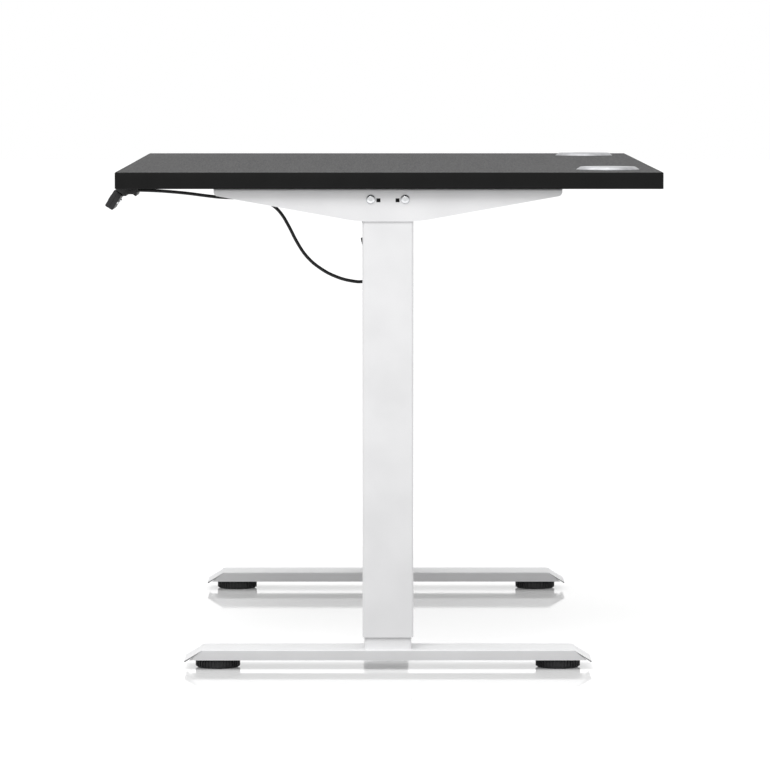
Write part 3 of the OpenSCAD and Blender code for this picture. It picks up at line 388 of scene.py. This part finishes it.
for side, word in both_sides:
    bm = bmesh.new()
    web = [bm.verts.new((bracket_x, column_y + y, underside + z)) for y, z in
           ((-bracket_half, 0), (-bracket_half, end_low), (-bend_half, middle_low),
            (bend_half, middle_low), (bracket_half, end_low), (bracket_half, 0))]
    bm.faces.new(web)
    rounded(bm, web[1:5:3], 0.005, 5, "VERTICES")
    bends = [v for v in bm.verts if v.co.z < underside + middle_low + 1e-4]
    rounded(bm, bends, 0.0143, 5, "VERTICES")
    fold = [e for e in bm.edges if all(v.co.z > underside - 1e-4 for v in e.verts)]
    carry(bm, fold, Matrix.Translation((-flange_w, 0, 0)))
    rounded(bm, fold, 0.003, 4)
    face_out(bm, (1, 0, 0))
    driver_holes(bm, bracket_x, column_y)
    thicken(bm, bracket_t)
    bmesh.ops.scale(bm, vec=(side, 1, 1), verts=bm.verts)
    piece("end_bracket." + word, bm, powder_white, "top_frame", "side_bracket_" + word)


# ---------------------------------------------------------------- frame bolts
# M6 flanged button-head bolts with a hexagon socket: two through each bracket into the column,
# the others through the rails' ends and the motor's ears.
# Bright zinc plating: a clear reflection with a faint bluish mottle, dark where it mirrors the board above.
zinc = finish("bright_zinc_plate", "zinc_steel", "#C6C8CA", "#D8D9DA", (0.14, 0.22), 3, 0.4, 0.003,
              Metallic=1.0)


def button_bolt(bm, seat):
    """A domed head on its flange, with a hexagon socket and its shank, put in its seat by a matrix."""
    bolt = bmesh.new()
    turned(bolt, [(0.003, -0.008), (0.003, 0), (0.0066, 0), (0.0066, 0.0005), (0.0063, 0.0012),
                  (0.0057, 0.0020), (0.0049, 0.0027), (0.0042, 0.0031), (0.0034, head_h)], 48)
    dome = [e for e in bolt.edges if all(v.co.z > head_h - 5e-5 for v in e.verts)]
    socket = bmesh.ops.create_circle(bolt, segments=6, radius=socket_r,
                                     matrix=Matrix.Translation((0, 0, head_h)))
    sides = list({e for v in socket["verts"] for e in v.link_edges})
    bmesh.ops.triangle_fill(bolt, use_beauty=True, use_dissolve=False, edges=dome + sides)
    bmesh.ops.edgeloop_fill(bolt, edges=carry(bolt, sides, Matrix.Translation((0, 0, -socket_depth))))
    bmesh.ops.transform(bolt, matrix=seat, verts=bolt.verts)
    held = bpy.data.meshes.new("bolt")
    bolt.to_mesh(held)
    bolt.free()
    bm.from_mesh(held)
    bpy.data.meshes.remove(held)


head_h, socket_r, socket_depth = 0.0033, 0.0023, 0.0022
bolt_y, bolt_z = 0.0239, 0.6575
tube_half, rail_half = 0.0355, 0.0125
motor_x = column_x - 0.155

bm = bmesh.new()
for side in (1, -1):
    for toward in (-1, 1):
        button_bolt(bm, Matrix.Translation((side * bracket_x, column_y + toward * bolt_y, bolt_z))
                    @ Matrix.Rotation(side * math.pi / 2, 4, "Y"))
        for along in (0.017, 0.042):
            at = (side * (column_x - tube_half - along), column_y + toward * (bolt_y + rail_half), bolt_z)
            button_bolt(bm, Matrix.Translation(at) @ Matrix.Rotation(-toward * math.pi / 2, 4, "X"))
for toward in (-1, 1):
    at = (motor_x, column_y + toward * bolt_y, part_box("motor_gear_case")[0].z)
    button_bolt(bm, Matrix.Translation(at) @ Matrix.Rotation(math.pi, 4, "X"))
piece("frame_bolt_heads", bm, zinc, "top_frame", "frame_bolts")


# ---------------------------------------------------------------- outer tubes
# The upper, wider half of each telescopic column: a welded square steel tube with rounded corners,
# two square driver holes in its outer wall and two tongues welded on for the crossbeam's rails.
def square_tube(bm, side, radius, low, high):
    """A square tube's outer skin, open at both ends."""
    faces = box(bm, (-side / 2, -side / 2, low), (side / 2, side / 2, high), radius, 6, upright)
    bmesh.ops.delete(bm, geom=[f for f in faces if abs(f.normal.z) > 0.9], context="FACES")


def on_column(side):
    """The foot of the right or the left column's axis."""
    return Matrix.Translation((side * column_x, column_y, 0))


tube_r, outer_wall = 0.004, 0.0015
outer_low, outer_top = 0.0449, 0.6696
shaft_z, shaft_hole = 0.628, 0.008
tongue_y, tongue_half, tongue_end = 0.0099, 0.0015, -0.0915

for side, word in both_sides:
    bm = bmesh.new()
    square_tube(bm, 2 * tube_half, tube_r, outer_low, outer_top)
    driver_holes(bm, tube_half, 0)
    open_up(bm, (-tube_half - 0.005, -shaft_hole, shaft_z - shaft_hole),
            (-tube_half + 0.005, shaft_hole, shaft_z + shaft_hole), 0)
    thicken(bm, outer_wall)
    for y in (-tongue_y, tongue_y):
        box(bm, (tongue_end, y - tongue_half, 0.645), (-0.0346, y + tongue_half, 0.6695), 0.0006)
    bmesh.ops.scale(bm, vec=(side, 1, 1), verts=bm.verts)
    piece("upper_column." + word, bm, powder_white, "top_frame", "outer_tube_" + word,
          place=on_column(side))


# ---------------------------------------------------------------- inner tubes
# The lower, narrower half of each column: a square steel tube that slides in the upper one's bushes,
# welded to a plate that is bolted down on the foot.
inner_side, inner_wall, inner_top = 0.0654, 0.0018, 0.582
foot_top = 0.0284
plate_half, plate_t = 0.031, 0.006

for side, word in both_sides:
    bm = bmesh.new()
    square_tube(bm, inner_side, tube_r, foot_top, inner_top)
    thicken(bm, inner_wall)
    box(bm, (-plate_half, -plate_half, foot_top), (plate_half, plate_half, foot_top + plate_t))
    piece("lower_column." + word, bm, powder_white, word + "_base", "inner_tube_" + word,
          place=on_column(side))


# ---------------------------------------------------------------- feet
# Each foot is one steel sheet: a flat top whose long sides are folded down into walls, with the two ends
# bent down in front of the glides. Weld nuts under the top take the glides' studs.
foot_half, foot_w_half = 0.28485, 0.043
flat_half, tip_z = 0.25865, 0.0127
wall_half, wall_x, wall_z = 0.2775, 0.0404, 0.0134
sheet_t, nut_r, nut_h, glide_y = 0.002, 0.0076, 0.011, 0.2386

for side, word in both_sides:
    bm = bmesh.new()
    ends = [(-foot_half, tip_z), (-flat_half, foot_top), (flat_half, foot_top), (foot_half, tip_z)]
    verts = [bm.verts.new((-foot_w_half, y, z)) for y, z in ends]
    edges = [bm.edges.new(pair) for pair in zip(verts, verts[1:])]
    carry(bm, edges, Matrix.Translation((2 * foot_w_half, 0, 0)))
    folds = [e for e in bm.edges if all(v.co.z > foot_top - 1e-4 for v in e.verts) and len(e.link_faces) == 1]
    for v in {v for e in carry(bm, folds, Matrix()) for v in e.verts}:
        v.co = (math.copysign(wall_x, v.co.x), math.copysign(wall_half, v.co.y), wall_z)
    rounded(bm, folds, 0.0022, 4)
    face_out(bm, (0, 0, 1))
    thicken(bm, sheet_t)
    box(bm, (-0.0405, -0.05, 0.0234), (0.0405, 0.05, 0.0266), 0.0006)
    for y in (-glide_y, glide_y):
        bmesh.ops.create_cone(bm, cap_ends=True, segments=6, radius1=nut_r, radius2=nut_r, depth=nut_h,
                              matrix=Matrix.Translation((0, y, foot_top - sheet_t - nut_h / 2)))
    piece("foot_pressing." + word, bm, powder_white, word + "_base", "foot_" + word,
          place=on_column(side))


# ---------------------------------------------------------------- levelling glides
# Moulded discs on M8 studs, screwed up or down to level the desk: finger ribs round the edge
# and a chamfered sole.
# Black glass-filled nylon: matt, with the ribs catching thin lines of light.
glide_nylon = finish("black_moulded_nylon", "glide_black", "#18181A", "#222224", (0.45, 0.58), 8, 0.6, 0.03)

ribs = 40

for side, word in both_sides:
    for toward, end in ((-1, "front"), (1, "back")):
        bm = bmesh.new()
        turned(bm, [(0, 0), (0.0280, 0), (0.0296, 0.0016), (0.0299, 0.0022), (0.0299, 0.0118),
                    (0.0295, 0.0126), (0.0285, 0.0130), (0.0045, 0.0130), (0.0040, 0.0132), (0.0040, 0.0252),
                    (0, 0.0252)], 96)
        rib = box(bm, (0.0292, -0.0009, 0.0020), (0.0312, 0.0009, 0.0122), 0.0004, 2)
        shape = {v for f in rib for v in f.verts} | {e for f in rib for e in f.edges} | set(rib)
        bmesh.ops.spin(bm, geom=list(shape), cent=(0, 0, 0), axis=(0, 0, 1), use_duplicate=True,
                       angle=math.tau * (ribs - 1) / ribs, steps=ribs - 1)
        piece(f"glide.{word}.{end}", bm, glide_nylon, f"{word}_{end}_glide", f"glide_{word}_{end}",
              place=on_column(side) @ Matrix.Translation((0, toward * glide_y, 0)))


# ---------------------------------------------------------------- handset mount
# A moulded block screwed up under the desktop's front edge. The handset hangs on its sloped nose.
# It is made of the same grained ABS as the handset's shells.
def prism(bm, outline, low, high):
    """A solid along X between low and high, from an outline of (y, z) points."""
    bm.faces.new([bm.verts.new((low, y, z)) for y, z in outline])
    pull(bm, (high - low, 0, 0))


handset_x, handset_half = column_x - 0.067, 0.0525
bm = bmesh.new()
prism(bm, [(-0.3789, 0.6719), (-0.37954, 0.6679), (-0.3713, 0.66279), (-0.37298, 0.66007), (-0.3661, 0.6604),
           (-0.3661, 0.6628), (-0.3569, 0.6628), (-0.3536, 0.6602), (-0.3524, 0.6602), (-0.3513, 0.664),
           (-0.3513, 0.6719)], handset_x - handset_half, handset_x + handset_half)
rounded(bm, bm.edges[:], 0.0005, 2)
piece("handset_bracket", bm, abs_black, "top_frame", "handset_mount",
      place=Matrix.Translation((0, column_y, 0)))


# ---------------------------------------------------------------- handset shells
# Two black ABS half shells screwed together from behind. The front one has openings for four keys
# and the display; it leans back so that a seated user reads it from above.
tilt = Matrix.Translation((handset_x, -0.38955, 0.647)) @ Matrix.Rotation(math.radians(-31.8), 4, "X")
face_h, shell_wall, shell_r = 0.0264, 0.002, 0.0019
front_t, back_y, shell_end = 0.0062, 0.0065, 0.0128
key_low, key_high, key_gap, key_proud = 0.0090, 0.0174, 0.0003, 0.0006
# Each key's middle along the handset, and its width.
keys = {"up": (-0.036, 0.014), "down": (-0.0185, 0.014),
        "memory_1": (0.024, 0.009), "memory_2": (0.038, 0.009)}

bm = bmesh.new()
box(bm, (-handset_half, 0, 0), (handset_half, front_t, face_h), shell_r, 4,
    lambda e: min(v.co.y for v in e.verts) < 1e-6
    or abs(e.verts[0].co.y - e.verts[1].co.y) > 0.001)
drop(bm, lambda f: f.normal.y > 0.99)
face_out(bm, (0, -1, 0))
for x, width in keys.values():
    open_up(bm, (x - width / 2 - key_gap, -1, key_low - key_gap),
            (x + width / 2 + key_gap, 1, key_high + key_gap), 1)
open_up(bm, (-0.010, -1, 0.0072), (0.014, 1, 0.0192), 1)
thicken(bm, shell_wall)
piece("handset_front", bm, abs_black, "top_frame", "handset_front_shell", place=tilt)

bm = bmesh.new()
box(bm, (-handset_half, back_y, 0), (handset_half, shell_end, face_h), shell_r, 4,
    lambda e: max(v.co.y for v in e.verts) > shell_end - 1e-4
    or abs(e.verts[0].co.y - e.verts[1].co.y) > 0.001)
drop(bm, lambda f: f.normal.y < -0.99)
face_out(bm, (0, 1, 0))
thicken(bm, shell_wall)
piece("handset_back", bm, abs_black, "top_frame", "handset_back_shell", place=tilt)


# ---------------------------------------------------------------- handset keys
# Four sprung ABS keys: two wide ones that raise and lower the desk and two small ones that recall a height.
# Each rests a little proud of the shell and carries a pad-printed arrow or dots.
# Pad-printed ink: flat pale grey, slightly uneven over the key's grain.
ink = finish("pale_printed_ink", "abs_black", "#B8B8B8", "#C6C6C6", (0.5, 0.6), 2, 0.5, 0.005)

key_back, key_lip = 0.0023, 0.0012
arrow_r, dot_r, dot_pitch = 0.0024, 0.0007, 0.0024

for name, (x, width) in keys.items():
    bm = bmesh.new()
    box(bm, (x - width / 2, -key_proud, key_low), (x + width / 2, key_back, key_high), 0.0005, 3)
    box(bm, (x - width / 2 - key_lip, key_back, key_low - key_lip),
        (x + width / 2 + key_lip, key_back + 0.001, key_high + key_lip))
    printed = set(bm.faces)
    if name in ("up", "down"):
        turn = Matrix.Rotation(math.pi / 2 if name == "up" else -math.pi / 2, 4, "Z")
        marked = [(x, 3, arrow_r, turn)]
    else:
        dots = int(name[-1])
        marked = [(x + (dot - (dots - 1) / 2) * dot_pitch, 16, dot_r, Matrix()) for dot in range(dots)]
    for at, corners, size, turn in marked:
        flat = Matrix.Translation((at, -key_proud - 2e-5, face_h / 2)) @ Matrix.Rotation(math.pi / 2, 4, "X")
        bmesh.ops.create_cone(bm, cap_ends=True, segments=corners, radius1=size, radius2=size, depth=0.0001,
                              matrix=flat @ turn)
    for f in bm.faces:
        f.material_index = 0 if f in printed else 1
    body = name + "_key" if name in ("up", "down") else "memory_key_" + name[-1]
    piece("handset_key." + name, bm, abs_black, body, "key_" + name, place=tilt, marks=ink)


# ---------------------------------------------------------------- display window
# A smoked acrylic pane set in the front shell, over the height display, which is off.
# Smoked acrylic: near black with a hard clear reflection and faint rubbing marks.
smoked = finish("smoked_acrylic", "window_black", "#0B0D0F", "#121518", (0.05, 0.11), 5, 0.6, 0.001)
bm = bmesh.new()
box(bm, (-0.0099, -0.0002, 0.0073), (0.0139, 0.0018, 0.0191), 0.0003, 2)
piece("display_pane", bm, smoked, "top_frame", "display_window", place=tilt)


# ---------------------------------------------------------------- crossbeam rails
# Two square steel tubes, front and back, join the columns. Each is a smaller tube sliding in a larger one,
# set to the desktop's width and locked when the desk is put together.
def softened(material, *nodes):
    """A CAD piece as it is, in its real finish, with its arrises rounded off a little."""
    for name in nodes:
        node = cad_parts[name]
        node.data.materials.clear()
        node.data.materials.append(material)
        weld = node.modifiers.new("weld", "WELD")
        weld.merge_threshold = 0.00001
        round_off = node.modifiers.new("round_off", "BEVEL")
        round_off.width = 0.0003
        round_off.segments = 2
        round_off.limit_method = "ANGLE"
        round_off.angle_limit = math.radians(40)


# The rails are powder coated in the columns' white.
softened(powder_white, "rail_front_right", "rail_front_left", "rail_back_right", "rail_back_left")


# ---------------------------------------------------------------- drive shaft and motor
# A hexagonal bright steel shaft runs from column to column. A can motor under the rails turns it
# through a pair of spur gears in a flat moulded case.
# Cold-drawn steel: bright, with drawing marks along its length.
bright_steel = finish("cold_drawn_steel", "bright_steel", "#A9ABAE", "#C2C4C6", (0.24, 0.36), 6, 0.5, 0.01,
                      stretch=(0.05, 1, 1), Metallic=1.0)
# Phosphated and painted motor steel: dark, with a soft sheen.
motor_black = finish("painted_motor_steel", "motor_black", "#1C1C1D", "#262628", (0.34, 0.46), 12, 0.7, 0.015)
softened(bright_steel, "drive_shaft")
softened(abs_black, "motor_gear_case")
softened(motor_black, "motor_can")


# ---------------------------------------------------------------- gearboxes, screws and bushes
# Inside the columns: bevel gearboxes at the top, trapezoidal lead screws turning in nuts held by the
# inner tubes, and acetal bushes between the tubes.
# Glass-filled nylon housings: dull black with a faint flow mottle. Their black is partly painted shade:
# it darkens what shows through the driver holes, standing in for the shade inside the column.
gear_nylon_and_hole_shade = finish("black_nylon_and_hole_shade", "nylon_black", "#1B1B1C", "#252526", (0.5, 0.62), 7,
                    0.5, 0.02)
# Natural acetal: waxy off-white that lets a little light in.
acetal = finish("natural_acetal", "acetal_pale", "#D3D1CA", "#DDDBD4", (0.32, 0.42), 18, 0.8, 0.008,
                Subsurface_Weight=0.15, Subsurface_Radius=(0.004, 0.004, 0.003))
softened(gear_nylon_and_hole_shade, "gearbox_right", "gearbox_left")
softened(bright_steel, "lead_screw_right", "lead_screw_left", "screw_bevel_right", "screw_bevel_left",
         "bevel_pinions", "screw_bearings", "motor_pinion")
softened(acetal, "lower_bush_right", "lower_bush_left", "upper_bush_right", "upper_bush_left",
         "lead_nut_right", "lead_nut_left", "shaft_gear")


# ---------------------------------------------------------------- control box
# A two-part ABS case screwed up under the desktop, in front of the crossbeam, with a power board inside.
# Its base has the mains inlet at one end and the motor's and the handset's sockets at the other.
# Green solder mask: glossy, with the copper's paler patches under it.
solder_mask = finish("green_solder_mask", "circuit_green", "#254A30", "#3B6E4A", (0.2, 0.34), 3, 1.2, 0.03)
softened(abs_black, "control_box_base", "control_box_lid")
softened(solder_mask, "control_board", "handset_board")


# ---------------------------------------------------------------- screws
# Countersunk wood screws hold the brackets, the control box and the handset's mount to the board;
# self-tapping screws close the cases, and M6 bolts hold each column on its foot.
softened(zinc, "wood_screws", "case_screws", "foot_bolts_right", "foot_bolts_left")


# ---------------------------------------------------------------- studio
# A plain pale glossy floor that runs to the horizon under a white sky, with two large soft lamps:
# one over the desk and one high up on the camera's side, a little toward the user.
# Polished white vinyl: the feet mirror in it. The light it throws back is less near the desk,
# as from a floor in the desk's own shade, which keeps the feet's sides darker than the columns.
floor_vinyl = finish("polished_white_vinyl", "floor", "#FDFDFD", "#FFFFFF", (0.05, 0.07), 400, 30, 0,
                     Emission_Strength=0.1)
tree = floor_vinyl.node_tree
shader = next(n for n in tree.nodes if n.type == "BSDF_PRINCIPLED")
shader.inputs["Emission Color"].default_value = (1, 1, 1, 1)
away = add(tree, "VectorMath", {0: add(tree, "TexCoord").outputs["Object"]}, operation="LENGTH")
shade = add(tree, "MapRange", {"Value": away.outputs["Value"], "From Min": 0.75, "From Max": 1.5,
                               "To Min": -0.85, "To Max": -0.45})
bounce = add(tree, "Math", {0: add(tree, "LightPath").outputs["Is Diffuse Ray"], 1: shade.outputs[0], 2: 1.0},
             operation="MULTIPLY_ADD")
tree.links.new(bounce.outputs[0], shader.inputs["Base Color"])
bm = bmesh.new()
bmesh.ops.create_grid(bm, x_segments=1, y_segments=1, size=30)
ground = bpy.data.meshes.new("studio_floor")
bm.to_mesh(ground)
bm.free()
ground.materials.append(floor_vinyl)
floor = bpy.data.objects.new("studio_floor", ground)
bpy.context.scene.collection.objects.link(floor)

sky = bpy.data.worlds.new("studio_sky")
sky.use_nodes = True
sky.node_tree.nodes["Background"].inputs["Color"].default_value = (1, 1, 1, 1)
sky.node_tree.nodes["Background"].inputs["Strength"].default_value = 1.0
bpy.context.scene.world = sky


def lamp(name, at, toward, size, power):
    """A large square soft lamp."""
    light = bpy.data.lights.new(name, "AREA")
    light.size = size
    light.energy = power
    made = bpy.data.objects.new(name, light)
    made.location = at
    made.rotation_euler = (Vector(toward) - Vector(at)).to_track_quat("-Z", "Y").to_euler()
    bpy.context.scene.collection.objects.link(made)
    return made


over = lamp("lamp_over", (-0.3, -0.2, 3.4), (0, 0, 0.3), 2.4, 22)
front = lamp("lamp_front", (4.4, -0.9, 5.6), (0.6, 0, 0.2), 2.6, 190)
bpy.context.scene.view_settings.view_transform = "Standard"
bpy.context.scene.view_settings.look = "None"
